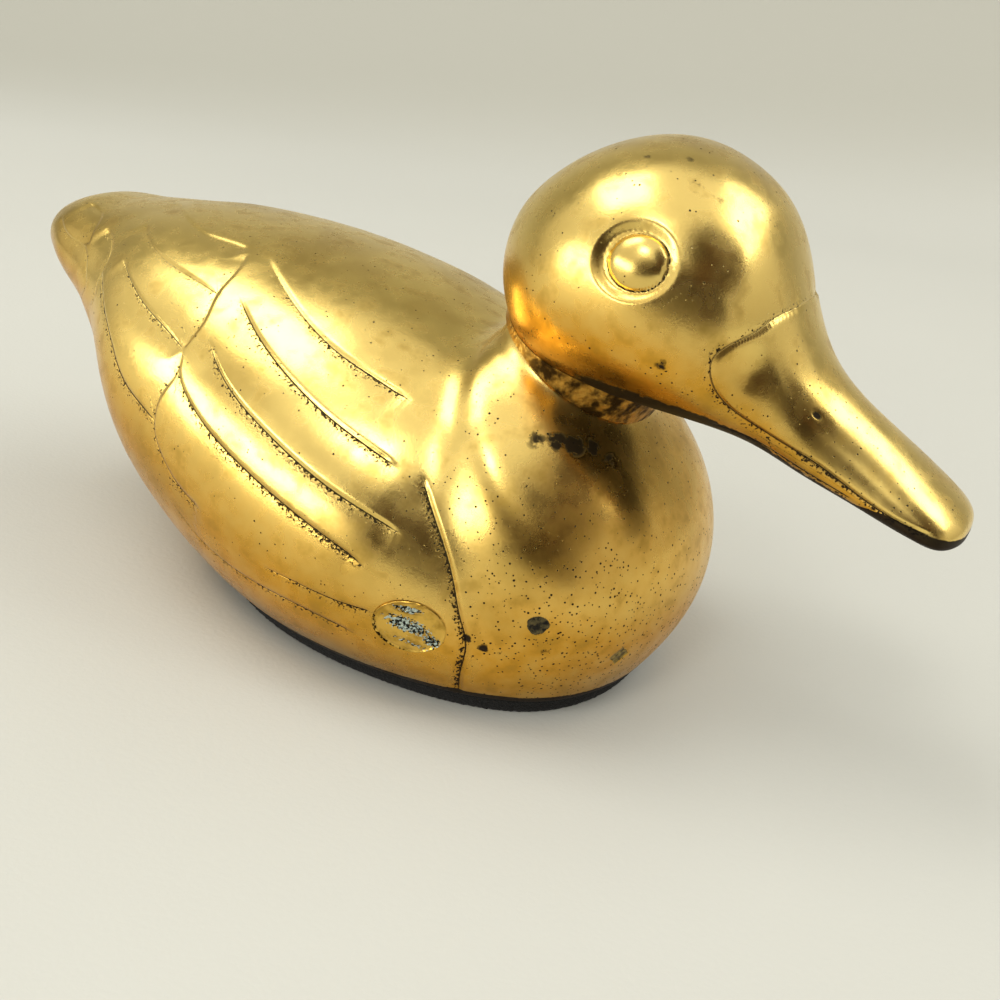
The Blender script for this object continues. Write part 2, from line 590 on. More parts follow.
def close_mesh(piece, floor=None):
    """Join double points, cut off what is below the floor, and close every hole."""
    shape = bmesh.new()
    shape.from_mesh(piece.data)
    bmesh.ops.remove_doubles(shape, verts=shape.verts, dist=WELD * MM)
    if floor is not None:
        everything = shape.verts[:] + shape.edges[:] + shape.faces[:]
        bmesh.ops.bisect_plane(shape, geom=everything, dist=WELD * MM, plane_co=(0, 0, floor * MM),
                               plane_no=(0, 0, -1), clear_outer=True)
    bmesh.ops.holes_fill(shape, edges=[edge for edge in shape.edges if edge.is_boundary])
    bmesh.ops.recalc_face_normals(shape, faces=shape.faces)
    shape.to_mesh(piece.data)
    shape.free()
    piece.data.shade_smooth()


def linear(hex_colour):
    """An sRGB hex colour as linear red, green, blue and alpha."""
    parts = [int(hex_colour[k:k + 2], 16) / 255 for k in (1, 3, 5)]
    return tuple(c / 12.92 if c <= 0.04045 else ((c + 0.055) / 1.055) ** 2.4 for c in parts) + (1.0,)


def add_node(tree, kind, inputs=(), out=0, **settings):
    """Add a shader node with its settings and links, and return one of its outputs.

    The inputs are given in their order, or by name or number. A socket is linked, anything else is set.
    """
    node = tree.nodes.new("ShaderNode" + kind)
    for name, value in settings.items():
        setattr(node, name, value)
    given = inputs.items() if isinstance(inputs, dict) else enumerate(inputs)
    for name, value in given:
        if isinstance(value, bpy.types.NodeSocket):
            tree.links.new(value, node.inputs[name])
        else:
            node.inputs[name].default_value = value
    return node.outputs[out] if node.outputs else None


def new_material(name):
    """An empty material, its tree, and the place on the object in millimetres."""
    material = bpy.data.materials.new(name)
    material.use_nodes = True
    tree = material.node_tree
    tree.nodes.clear()
    place = add_node(tree, "TexCoord", out="Object")
    return material, tree, add_node(tree, "VectorMath", {0: place, "Scale": 1 / MM}, operation="SCALE")


def finish_material(tree, inputs, height=None, depth=1):
    """Give a material its shader, and its relief if it has one: heights, and the millimetres of 1."""
    if height is not None:
        relief = {"Height": height, "Distance": depth * MM, "Strength": 1.0}
        inputs = {**inputs, "Normal": add_node(tree, "Bump", relief)}
    add_node(tree, "OutputMaterial", {"Surface": add_node(tree, "BsdfPrincipled", inputs)})


def cast_brass(name, settings):
    """Sand-cast brass, polished by hand: bright where the buff reached, dark and pitted in the recesses."""
    material, tree, place = new_material(name)
    edge, dark_line, pitted, amber, soot, heat = (
        add_node(tree, "Attribute", out="Fac", attribute_name=layer)
        for layer in ("edge", "dark", "pitted", "amber", "soot", "heat"))
    cloud, tarnish, grain, smoke = (
        add_node(tree, "TexNoise", {"Vector": place, "Scale": 1 / size, "Detail": detail})
        for size, detail in ((CLOUD_SIZE, 4), (TARNISH_SIZE, 5), (GRAIN_SIZE, 3), (SMOKE_SIZE, 4)))

    # Dark pits: some cells of a fine pattern, more where the casting is rough. Distances are in cells
    cell = {"Vector": place, "Scale": MM / settings.pit_spacing, "Randomness": 1.0}
    to_cell = add_node(tree, "TexVoronoi", cell, "Distance")
    chance = add_node(tree, "SeparateColor", {"Color": to_cell.node.outputs["Color"]}, "Red")
    size = chance.node.outputs["Green"]
    crowd = add_node(tree, "MapRange", (cloud, 0.42, 0.68, 0.10, 0.32), interpolation_type="SMOOTHSTEP")
    crowd = add_node(tree, "Math", (pitted, 0.75, crowd), operation="MULTIPLY_ADD")
    chosen = add_node(tree, "Math", (chance, crowd), operation="LESS_THAN")
    radius = add_node(tree, "Math", (size, size), operation="MULTIPLY")
    radius = add_node(tree, "Math", (radius, 0.14, 0.06), operation="MULTIPLY_ADD")
    radius = add_node(tree, "Math", (pitted, 0.06, radius), operation="MULTIPLY_ADD")
    ragged = add_node(tree, "Math", (grain, 0.22, to_cell), operation="MULTIPLY_ADD")
    outside = add_node(tree, "Math", (ragged, radius), operation="SUBTRACT")
    hole = add_node(tree, "MapRange", (outside, 0.11, 0.17, 1.0, 0.0), interpolation_type="SMOOTHSTEP")
    pits = add_node(tree, "Math", (hole, chosen), operation="MULTIPLY")

    # Dark rough metal under each line, thinning out down the slope, and a thread in it, in millimetres
    slope = add_node(tree, "MapRange", (edge, -1.5, 0.0), interpolation_type="SMOOTHSTEP")
    low_side = add_node(tree, "MapRange", (edge, 0.0, 0.1, 1.0, 0.0), interpolation_type="SMOOTHSTEP")
    under = add_node(tree, "Math", (slope, low_side), operation="MULTIPLY")
    under = add_node(tree, "Math", (under, dark_line), operation="MULTIPLY")
    specks = add_node(tree, "Math", (under, 0.19, grain), operation="MULTIPLY_ADD")
    specks = add_node(tree, "MapRange", (specks, 0.64, 0.69), interpolation_type="SMOOTHSTEP")
    thick = add_node(tree, "MapRange", (under, 0.0, 0.3), interpolation_type="SMOOTHSTEP")
    specks = add_node(tree, "Math", (specks, thick), operation="MULTIPLY")
    distance = add_node(tree, "Math", (edge, 0.06), operation="ADD")
    distance = add_node(tree, "Math", (distance,), operation="ABSOLUTE")
    thread = add_node(tree, "MapRange", (distance, 0.04, 0.16, 1.0, 0.0), interpolation_type="SMOOTHSTEP")
    strong = add_node(tree, "MapRange", (dark_line, 0.0, 0.7), interpolation_type="SMOOTHSTEP")
    thread = add_node(tree, "Math", (thread, strong), operation="MULTIPLY")
    dark = add_node(tree, "Math", (specks, pits), operation="MAXIMUM")
    dark = add_node(tree, "Math", (thread, dark), operation="MAXIMUM")

    # Soot in ragged clouds
    sooty = add_node(tree, "Math", (smoke, 0.5), operation="SUBTRACT")
    sooty = add_node(tree, "Math", (sooty, 1.5, soot), operation="MULTIPLY_ADD")
    sooty = add_node(tree, "MapRange", (sooty, 0.40, 0.66), interpolation_type="SMOOTHSTEP")
    near_soot = add_node(tree, "MapRange", (soot, 0.1, 0.7), interpolation_type="SMOOTHSTEP")
    sooty = add_node(tree, "Math", (sooty, near_soot), operation="MULTIPLY")

    # Colour: gold, deeper low down, with tarnish, heat stains, soot and the dark recesses over it
    tone = add_node(tree, "MapRange", (tarnish, 0.2, 0.7, 0.7, 1.0), interpolation_type="SMOOTHSTEP")
    stain = add_node(tree, "MapRange", (grain, 0.3, 0.6, 0.6, 1.0), interpolation_type="SMOOTHSTEP")
    layers = (
        (add_node(tree, "Math", (amber, tone), operation="MULTIPLY"), settings.deep),
        (add_node(tree, "MapRange", (tarnish, 0.50, 0.75, 0.0, 0.5), interpolation_type="SMOOTHSTEP"),
         settings.tarnish),
        (add_node(tree, "MapRange", (cloud, 0.44, 0.72, 0.0, 0.5), interpolation_type="SMOOTHSTEP"),
         settings.tarnish),
        (add_node(tree, "Math", (heat, stain), operation="MULTIPLY"), linear("#A8481C")),
        (add_node(tree, "Math", (sooty, 0.98), operation="MULTIPLY"), linear("#120B06")),
        (add_node(tree, "Math", (dark, 0.97), operation="MULTIPLY"), linear("#160F07")),
    )
    colour = settings.polish
    for share, over in layers:
        colour = add_node(tree, "Mix", {"Factor": share, MIX_FIRST: colour, MIX_SECOND: over}, MIX_COLOUR,
                          data_type="RGBA")

    # Soot and recesses are dull and hardly metallic
    dull = add_node(tree, "MapRange", (sooty, 0.6, 1.0, 0.0, 0.8), interpolation_type="SMOOTHSTEP")
    dull = add_node(tree, "Math", (dark, dull), operation="MAXIMUM")
    rough = add_node(tree, "MapRange", (tarnish, 0.3, 0.8, 0.21, 0.34), interpolation_type="SMOOTHSTEP")
    rough = add_node(tree, "Math", (pitted, 0.09, rough), operation="MULTIPLY_ADD")

    # Relief in millimetres: holes and specks are sunk, and the rest has a fine grain
    grain_height = add_node(tree, "Math", (under, 0.10, 0.011), operation="MULTIPLY_ADD")
    height = add_node(tree, "Math", (dark, -0.09), operation="MULTIPLY")
    height = add_node(tree, "Math", (grain, grain_height, height), operation="MULTIPLY_ADD")
    inputs = {
        "Base Color": colour,
        "Metallic": add_node(tree, "Math", (dull, -0.75, 1.0), operation="MULTIPLY_ADD"),
        "Specular IOR Level": add_node(tree, "Math", (dull, -0.4, 0.5), operation="MULTIPLY_ADD"),
        "Roughness": add_node(tree, "Math", (dull, 0.35, rough), operation="MULTIPLY_ADD"),
    }
    finish_material(tree, inputs, height)
    return material


def brazing_metal():
    """Brass brazing run into the neck joint, dull and stained red and black by the torch."""
    material, tree, place = new_material("heat_stained_braze")
    burn, tone, ripple = (
        add_node(tree, "TexNoise", {"Vector": place, "Scale": 1 / size, "Detail": detail})
        for size, detail in ((BRAZE_BURN_SIZE, 4), (BRAZE_TONE_SIZE, 4), (BRAZE_RIPPLE_SIZE, 3)))
    along = add_node(tree, "SeparateXYZ", (place,), "X")
    front = add_node(tree, "MapRange", (along, 14.0, 21.0), interpolation_type="SMOOTHSTEP")
    burn = add_node(tree, "MapRange", (burn, 0.34, 0.62, 0.15, 0.95), interpolation_type="SMOOTHSTEP")
    burnt = add_node(tree, "Math", (front, burn), operation="MULTIPLY")
    colour = linear("#DDAF52")
    for share, over in ((tone, "#A9701F"), (burnt, "#1E1108")):
        colour = add_node(tree, "Mix", {"Factor": share, MIX_FIRST: colour, MIX_SECOND: linear(over)},
                          MIX_COLOUR, data_type="RGBA")
    rough = add_node(tree, "MapRange", (burnt, 0.0, 1.0, 0.3, 0.6), interpolation_type="SMOOTHSTEP")
    finish_material(tree, {"Base Color": colour, "Metallic": 1.0, "Roughness": rough}, ripple, 0.25)
    return material


def core_pin_metal(name, dark, light):
    """Iron core pins, filed flush and gone dark olive."""
    material, tree, place = new_material(name)
    blotch = add_node(tree, "TexNoise", {"Vector": place, "Scale": 1 / RUST_SIZE, "Detail": 4})
    share = add_node(tree, "MapRange", (blotch, 0.35, 0.65), interpolation_type="SMOOTHSTEP")
    colour = add_node(tree, "Mix", {"Factor": share, MIX_FIRST: linear(dark), MIX_SECOND: linear(light)},
                      MIX_COLOUR, data_type="RGBA")
    finish_material(tree, {"Base Color": colour, "Metallic": 0.7, "Roughness": 0.5}, blotch, 0.3)
    return material


def patch_metal():
    """Tin solder under a rub of brass colour: bright gold with torn streaks of silver and blue-green."""
    material, tree, place = new_material("torn_solder")
    streak, rim = (
        add_node(tree, "Attribute", out="Fac", attribute_name=layer) for layer in ("streak", "rim"))
    grain, glint, rub = (
        add_node(tree, "TexNoise", {"Vector": place, "Scale": 1 / size, "Detail": detail})
        for size, detail in ((TORN_SIZE, 3), (GLINT_SIZE, 2), (RUB_SIZE, 4)))
    torn = add_node(tree, "Math", (streak, 0.42, grain), operation="MULTIPLY_ADD")
    torn = add_node(tree, "MapRange", (torn, 0.70, 0.80), interpolation_type="SMOOTHSTEP")
    glint = add_node(tree, "MapRange", (glint, 0.46, 0.56), interpolation_type="SMOOTHSTEP")
    rub = add_node(tree, "MapRange", (rub, 0.4, 0.7), interpolation_type="SMOOTHSTEP")
    dirt = add_node(tree, "Math", (rim, 0.4, grain), operation="MULTIPLY_ADD")
    dirt = add_node(tree, "MapRange", (dirt, 0.82, 0.94), interpolation_type="SMOOTHSTEP")
    silver = add_node(tree, "Mix", {"Factor": glint, MIX_FIRST: linear("#10150F"),
                                    MIX_SECOND: linear("#B4C2B8")}, MIX_COLOUR, data_type="RGBA")
    colour = linear("#D9B052")
    for share, over in ((rub, linear("#AE8836")), (torn, silver), (dirt, linear("#1A1208"))):
        colour = add_node(tree, "Mix", {"Factor": share, MIX_FIRST: colour, MIX_SECOND: over}, MIX_COLOUR,
                          data_type="RGBA")
    metallic = add_node(tree, "MapRange", (torn, 0.0, 1.0, 1.0, 0.75), interpolation_type="SMOOTHSTEP")
    rough = add_node(tree, "MapRange", (torn, 0.0, 1.0, 0.28, 0.45), interpolation_type="SMOOTHSTEP")
    inputs = {"Base Color": colour, "Metallic": metallic, "Roughness": rough}
    height = add_node(tree, "Math", (grain, 0.5, -0.3), operation="MULTIPLY_ADD")
    height = add_node(tree, "Math", (torn, height), operation="MULTIPLY")
    finish_material(tree, inputs, height)
    return material


def wool_felt():
    """Thick black wool felt, slightly fluffy."""
    material, tree, place = new_material("black_wool_felt")
    fibre = add_node(tree, "TexNoise", {"Vector": place, "Scale": 1 / FIBRE_SIZE, "Detail": 5})
    colour = add_node(tree, "Mix", {"Factor": fibre, MIX_FIRST: linear("#060606"),
                                    MIX_SECOND: linear("#141311")}, MIX_COLOUR, data_type="RGBA")
    finish_material(tree, {"Base Color": colour, "Roughness": 0.95, "Sheen Weight": 0.06}, fibre, 0.4)
    return material


def plain_metal(name, pale, dull, tone_size, scuff_size, roughest):
    """A metal with a soft change of tone and of gloss."""
    material, tree, place = new_material(name)
    tone, scuff = (
        add_node(tree, "TexNoise", {"Vector": place, "Scale": 1 / size, "Detail": detail})
        for size, detail in ((tone_size, 4), (scuff_size, 3)))
    colour = add_node(tree, "Mix", {"Factor": tone, MIX_FIRST: linear(pale), MIX_SECOND: linear(dull)},
                      MIX_COLOUR, data_type="RGBA")
    rough = add_node(tree, "MapRange", (scuff, 0.3, 0.7, 0.35, roughest), interpolation_type="SMOOTHSTEP")
    finish_material(tree, {"Base Color": colour, "Metallic": 1.0, "Roughness": rough})
    return material


def sheet_brass():
    """Rolled brass sheet, dull from storage."""
    return plain_metal("rolled_sheet_brass", "#B98F48", "#8F6A30", SHEET_TONE_SIZE, SHEET_SCUFF_SIZE, 0.5)


def tin_solder():
    """Soft solder, grey and frosted."""
    return plain_metal("frosted_tin_solder", "#9A9C97", "#5F625E", SOLDER_TONE_SIZE, SOLDER_FROST_SIZE, 0.6)


def cream_paper(away, side):
    """Matt studio paper with a faint grain, a little darker far away on one side."""
    material, tree, place = new_material("cream_paper")
    cloud, grain = (
        add_node(tree, "TexNoise", {"Vector": place, "Scale": 1 / size, "Detail": 2})
        for size in (PAPER_TONE_SIZE, PAPER_GRAIN_SIZE))
    depth = add_node(tree, "VectorMath", (place, away - side * SWEEP_SHADE_LEAN), "Value",
                     operation="DOT_PRODUCT")
    shade = add_node(tree, "MapRange", (depth, SWEEP_SHADE_START, SWEEP_SHADE_END),
                     interpolation_type="SMOOTHSTEP")
    colour = linear("#B9B9B2")
    for share, over in ((cloud, "#C0C0B9"), (shade, "#ADACA2")):
        colour = add_node(tree, "Mix", {"Factor": share, MIX_FIRST: colour, MIX_SECOND: linear(over)},
                          MIX_COLOUR, data_type="RGBA")
    finish_material(tree, {"Base Color": colour, "Roughness": 0.75}, grain, 0.05)
    return material


def brown_cloth():
    """Dark brown cloth, seen only in reflections."""
    material, tree, place = new_material("dark_brown_cloth")
    fold = add_node(tree, "TexNoise", {"Vector": place, "Scale": 1 / CLOTH_FOLD_SIZE, "Detail": 3})
    fold = add_node(tree, "MapRange", (fold, 0.35, 0.65), interpolation_type="SMOOTHSTEP")
    colour = add_node(tree, "Mix", {"Factor": fold, MIX_FIRST: linear("#160A03"),
                                    MIX_SECOND: linear("#4A290D")}, MIX_COLOUR, data_type="RGBA")
    finish_material(tree, {"Base Color": colour, "Roughness": 1.0})
    return material


def pale_room():
    """A world like a pale room, lighter towards its ceiling."""
    world = bpy.data.worlds.new("pale_room")
    world.use_nodes = True
    tree = world.node_tree
    tree.nodes.clear()
    way = add_node(tree, "TexCoord", out="Generated")
    up = add_node(tree, "SeparateXYZ", (way,), "Z")
    share = add_node(tree, "MapRange", (up, -0.1, 0.9), interpolation_type="SMOOTHSTEP")
    colour = add_node(tree, "Mix", {"Factor": share, MIX_FIRST: linear("#C4BDAD"),
                                    MIX_SECOND: linear("#FFFCF5")}, MIX_COLOUR, data_type="RGBA")
    light = add_node(tree, "Background", {"Color": colour, "Strength": 1.0})
    add_node(tree, "OutputWorld", {"Surface": light})
    return world


def put(piece, material, slot, *nodes):
    """Give a piece its material, let it ride, and say which nodes it stands for."""
    piece.data.materials.clear()
    piece.data.materials.append(material)
    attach(piece, BODY)
    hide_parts(*nodes)


def repaint(node, material):
    """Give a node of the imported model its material."""
    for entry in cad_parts[node].material_slots:
        entry.material = material


def pin_spots():
    """Where each core pin comes out of the breast: start, direction, and whether it is square."""
    along = TAIL_X + PIN_CENTRE_SHARE * BODY_LENGTH
    for side in (-1, 1):
        for turn, height_share, square in PIN_PLACES:
            angle = math.radians(turn)
            way = Vector((math.sin(angle), side * math.cos(angle), 0))
            yield Vector((along, 0, height_share * BACK_HEIGHT)), way, square


def pin_share(points, start, way, square):
    """1 on the end of a core pin and 0 off it."""
    ahead = (points[..., 0] - start.x) * way.x + (points[..., 1] - start.y) * way.y
    across = (points[..., 0] - start.x) * way.y - (points[..., 1] - start.y) * way.x
    up = points[..., 2] - start.z
    if square:
        distance = (np.abs(across) + np.abs(up)) / SQUARE_REACH
    else:
        distance = np.hypot(across, up) / (PLUG_SIZE / 2)
    return smooth_steps(distance, *PIN_EDGE) * (ahead > 0)


def skin_tree(piece):
    """A search tree of a mesh, to find where a line meets it."""
    corners = [vertex.co for vertex in piece.data.vertices]
    return BVHTree.FromPolygons(corners, [face.vertices for face in piece.data.polygons])


def insert(name, tree, places, way, thickness, layers, bulge):
    """A closed plug set into a skin: its face follows the skin, its back lies deeper.

    places is a grid of starting points whose last ring is the edge, and way is the direction out.
    """
    rings, around = places.shape[:2]
    front = np.empty_like(places)
    for i in range(rings):
        for j in range(around):
            start = Vector(places[i, j]) * MM
            hit = tree.ray_cast(start + Vector(way) * BODY_WIDTH * MM, -Vector(way))[0]
            front[i, j] = np.array(hit) / MM
    front += np.array(way) * (PIECE_SINK + bulge)[..., None]
    back = front[-1:] - np.array(way) * thickness
    points = np.concatenate([front, back])
    layers = {key: np.concatenate([values, values[-1:]]) for key, values in layers.items()}
    piece = grid_object(name, points, layers)
    close_mesh(piece)
    return piece


def sky_way(turn, height):
    """A direction from a compass turn, anticlockwise from +X, and a height above the horizon, in degrees."""
    turn, height = math.radians(turn), math.radians(height)
    return Vector((math.cos(turn) * math.cos(height), math.sin(turn) * math.cos(height), math.sin(height)))


def soft_lamp(name, turn, height, distance, width, tall, brightness, colour):
    """A soft lamp that faces the duck. Brightness is what a mirror would show of it."""
    data = bpy.data.lights.new(name, "AREA")
    data.shape = "RECTANGLE"
    data.size, data.size_y = width, tall
    data.energy = brightness * math.pi * width * tall
    data.color = linear(colour)[:3]
    lamp = bpy.data.objects.new(name, data)
    bpy.context.scene.collection.objects.link(lamp)
    lamp.location = LAMP_AIM + sky_way(turn, height) * distance
    lamp.rotation_euler = sky_way(turn, height).to_track_quat("Z", "Y").to_euler()


def stage_mesh(name, points, faces, material):
    """A mesh that belongs to the stage and isn't part of the duck."""
    mesh = bpy.data.meshes.new(name)
    mesh.from_pydata(points, [], faces)
    mesh.shade_smooth()
    mesh.materials.append(material)
    thing = bpy.data.objects.new(name, mesh)
    bpy.context.scene.collection.objects.link(thing)
    return thing


def paper_sweep():
    """Paper that lies flat under the duck, then bends up behind it, square to the view."""
    turn = math.radians(CAMERA_TURN)
    away, side = Vector((-math.sin(turn), math.cos(turn), 0)), Vector((math.cos(turn), math.sin(turn), 0))
    bend = np.linspace(SWEEP_FIRST_TURN, math.pi / 2, SWEEP_BEND_STEPS)
    profile = [(SWEEP_FRONT, 0), (SWEEP_BEND_START, 0)]
    profile += [(SWEEP_BEND_START + SWEEP_BEND_RADIUS * math.sin(a),
                 SWEEP_BEND_RADIUS - SWEEP_BEND_RADIUS * math.cos(a)) for a in bend]
    profile += [(SWEEP_BEND_START + SWEEP_BEND_RADIUS, SWEEP_HEIGHT)]
    points = [away * far + side * half + Vector((0, 0, up))
              for far, up in profile for half in (-SWEEP_HALF_WIDTH, SWEEP_HALF_WIDTH)]
    faces = [(2 * k, 2 * k + 1, 2 * k + 3, 2 * k + 2) for k in range(len(profile) - 1)]
    stage_mesh("paper_sweep", points, faces, cream_paper(away, side))


def photographer_card():
    """Two dark discs beside the camera, which the breast, cheek and bill reflect."""
    outline, discs = [], []
    for turn, height, wide, tall in CARD_DISCS:
        out = sky_way(turn, height)
        sideways = Vector((-out.y, out.x, 0)).normalized()
        upward = out.cross(sideways)
        discs.append(tuple(range(len(outline), len(outline) + CARD_POINTS)))
        sideways, upward = sideways * math.tan(math.radians(wide)), upward * math.tan(math.radians(tall))
        for a in np.linspace(0, 2 * math.pi, CARD_POINTS, endpoint=False):
            way = out + sideways * math.cos(a) + upward * math.sin(a)
            outline.append(LAMP_AIM + way * CARD_DISTANCE)
    card = stage_mesh("photographer_card", outline, discs, brown_cloth())
    card.visible_camera = False
    card.visible_shadow = False
    card.visible_diffuse = False


def photo_camera():
    """The camera of the photograph."""
    data = bpy.data.cameras.new("photo_camera")
    data.sensor_width = SENSOR_MM
    data.lens = CAMERA_FOCAL_PX / IMAGE_PX * SENSOR_MM
    data.clip_start = CAMERA_NEAR
    camera = bpy.data.objects.new("photo_camera", data)
    bpy.context.scene.collection.objects.link(camera)
    turn, tilt, roll = (math.radians(angle) for angle in (CAMERA_TURN, CAMERA_TILT, CAMERA_ROLL))
    back_way = Vector((math.sin(turn) * math.cos(tilt), -math.cos(turn) * math.cos(tilt), math.sin(tilt)))
    right = Vector((math.cos(turn), math.sin(turn), 0))
    up = back_way.cross(right)
    rolled_right = right * math.cos(roll) + up * math.sin(roll)
    rolled_up = up * math.cos(roll) - right * math.sin(roll)
    facing = Matrix((rolled_right, rolled_up, back_way)).transposed().to_4x4()
    place = (Vector(CAMERA_AIM) + back_way * CAMERA_DISTANCE) * MM
    camera.matrix_world = Matrix.Translation(place) @ facing
    return camera


def pin_plug(pin_number, tree, start, way, square):
    """The end of a core pin: a little uneven, and sunk at its edge."""
    share = np.linspace(0, 1, PIN_RINGS)[:, None]
    turn = np.linspace(0, 2 * np.pi, PIN_POINTS, endpoint=False)[None]
    radius = PLUG_SIZE / 2 * np.ones_like(turn)
    if square:
        radius = SQUARE_REACH / (np.abs(np.cos(turn)) + np.abs(np.sin(turn)))
    radius = radius * (1 + PIN_LOBES * np.sin(3 * turn + pin_number))
    across, up = share * radius * np.cos(turn), share * radius * np.sin(turn)
    sideways = np.array((way.y, -way.x, 0))
    places = np.array(start) + across[..., None] * sideways + up[..., None] * np.array((0, 0, 1))
    dents = PIN_DENT * np.sin(across * 3 + pin_number) * np.cos(up * 4)
    bulge = -PIN_EDGE_DROP * share ** 6 - PIN_SINK + dents
    return insert("core_pin_%d" % pin_number, tree, places, way, PIN_DEPTH, {}, bulge)


def patch_plug(tree):
    """The face of the solder patch, lower in its torn streaks and along its lower edge."""
    share = np.linspace(0, 1, PATCH_RINGS)[:, None]
    turn = np.linspace(0, 2 * np.pi, PATCH_POINTS, endpoint=False)[None]
    along, up = share * PATCH_LENGTH / 2 * np.cos(turn), share * PATCH_HEIGHT / 2 * np.sin(turn)
    places = np.stack([PATCH_X + along, 0 * along, PATCH_Z + up], -1)
    streak = np.zeros(along.shape)
    for middle_along, middle_up, length, height, tilt, strength in PATCH_STREAKS:
        down_streak = (along - middle_along) * math.cos(tilt) + (up - middle_up) * math.sin(tilt)
        off_streak = (up - middle_up) * math.cos(tilt) - (along - middle_along) * math.sin(tilt)
        distance = (down_streak / length) ** 2 + (off_streak / height) ** 2
        streak = np.maximum(streak, strength * np.exp(-distance ** 2))
    rim = smooth_steps(share, *RIM_OUT) * smooth_steps(np.cos(turn - RIM_TURN), *RIM_ROUND)
    bulge = PATCH_CROWN - STREAK_DEPTH * streak - RIM_DEPTH * rim
    layers = {"streak": streak, "rim": rim}
    return insert("solder_face", tree, places, Vector((0, -1, 0)), PATCH_DEPTH, layers, bulge)


def eye_marks(x, y, z, edge, dark):
    """The eye, a dome in a hollow: its lowering, and the distances and darkness with its line added."""
    radius = EYE_SIZE / 2
    up = (z - EYE_Z) / (radius * EYE_FLATNESS)
    away = np.where(np.abs(y) > EYE_SIDE, np.hypot((x - EYE_X) / radius, up), FAR_OFF)
    dome = EYE_DEPTH - (EYE_DEPTH + EYE_DOME) * np.sqrt((1 - away ** 2).clip(min=0))
    from_moat = np.hypot((x - EYE_X + MOAT_SHIFT) / radius, up)
    ripple = 1 + MOAT_RIPPLE * np.sin(RIPPLES[0] * x) * np.sin(RIPPLES[1] * z)
    moat = EYE_DEPTH * (1 - smooth_steps(from_moat, MOAT_EDGE, MOAT_END)) * ripple
    lowering = np.where(away < 1, dome, np.where(away < MOAT_REACH, moat, 0))
    near = away < EYE_LINE_REACH
    line = np.abs(away - EYE_LINE) * radius - EYE_LINE_HALF_WIDTH
    shade = EYE_SHADE + (1 - EYE_SHADE) * smooth_steps((x - EYE_X) - (z - EYE_Z), *EYE_SHADE_SPAN)
    edge = np.where(near, np.minimum(edge, line), edge)
    return lowering, edge, np.where(near, np.maximum(dark, shade), dark)


def nostril_share(x, y, z):
    """1 in the middle of a nostril and 0 off it."""
    along, up = x - NOSTRIL_X, z - NOSTRIL_Z
    down_slot = (along * NOSTRIL_TURN[0] - up * NOSTRIL_TURN[1]) / NOSTRIL_HALF_LENGTH
    off_slot = (up * NOSTRIL_TURN[0] + along * NOSTRIL_TURN[1]) / NOSTRIL_HALF_HEIGHT
    return np.where(np.abs(y) > BILL_SIDE, np.exp(-np.hypot(down_slot, off_slot) ** 4), 0)


def foot_reach(rim, turns):
    """How far the foot reaches from its middle, at each of many turns."""
    turn = np.arctan2(rim[:, 1], rim[:, 0])
    far = np.hypot(rim[:, 0], rim[:, 1])
    reach = [far[np.abs(np.angle(np.exp(1j * (turn - angle)))) < FELT_WINDOW].max() for angle in turns]
    return np.array(reach)


class DuckSettings(bpy.types.PropertyGroup):
    """Sizes and colours of the duck that a user would change."""

    body_steps: bpy.props.IntProperty(
        name="Body steps", description="Sections along the body and neck", default=560, min=80)
    head_steps: bpy.props.IntProperty(
        name="Head steps", description="Sections along the head and bill", default=330, min=80)
    ring_points: bpy.props.IntProperty(
        name="Ring points", description="Points on a quarter of each section", default=150, min=20)
    line_depth: bpy.props.FloatProperty(
        name="Line depth", description="Share of the lines' depth that the polishing left",
        default=0.8, min=0, max=1, subtype="FACTOR")
    hand_wave: bpy.props.FloatProperty(
        name="Polishing waves", description="Height of the waves left by hand polishing",
        default=0.06 * MM, min=0, precision=5, unit="LENGTH")
    pit_spacing: bpy.props.FloatProperty(
        name="Pit spacing", description="Spacing of the cells that hold the casting's pits",
        default=0.68 * MM, min=0.1 * MM, precision=5, unit="LENGTH")
    polish: bpy.props.FloatVectorProperty(
        name="Polished colour", description="Colour of the polished brass",
        default=linear("#F0D179"), size=4, min=0, max=1, subtype="COLOR")
    deep: bpy.props.FloatVectorProperty(
        name="Deep colour", description="Colour of the brass low on the body",
        default=linear("#D69B2D"), size=4, min=0, max=1, subtype="COLOR")
    tarnish: bpy.props.FloatVectorProperty(
        name="Tarnish colour", description="Colour of dull brass",
        default=linear("#AC8837"), size=4, min=0, max=1, subtype="COLOR")


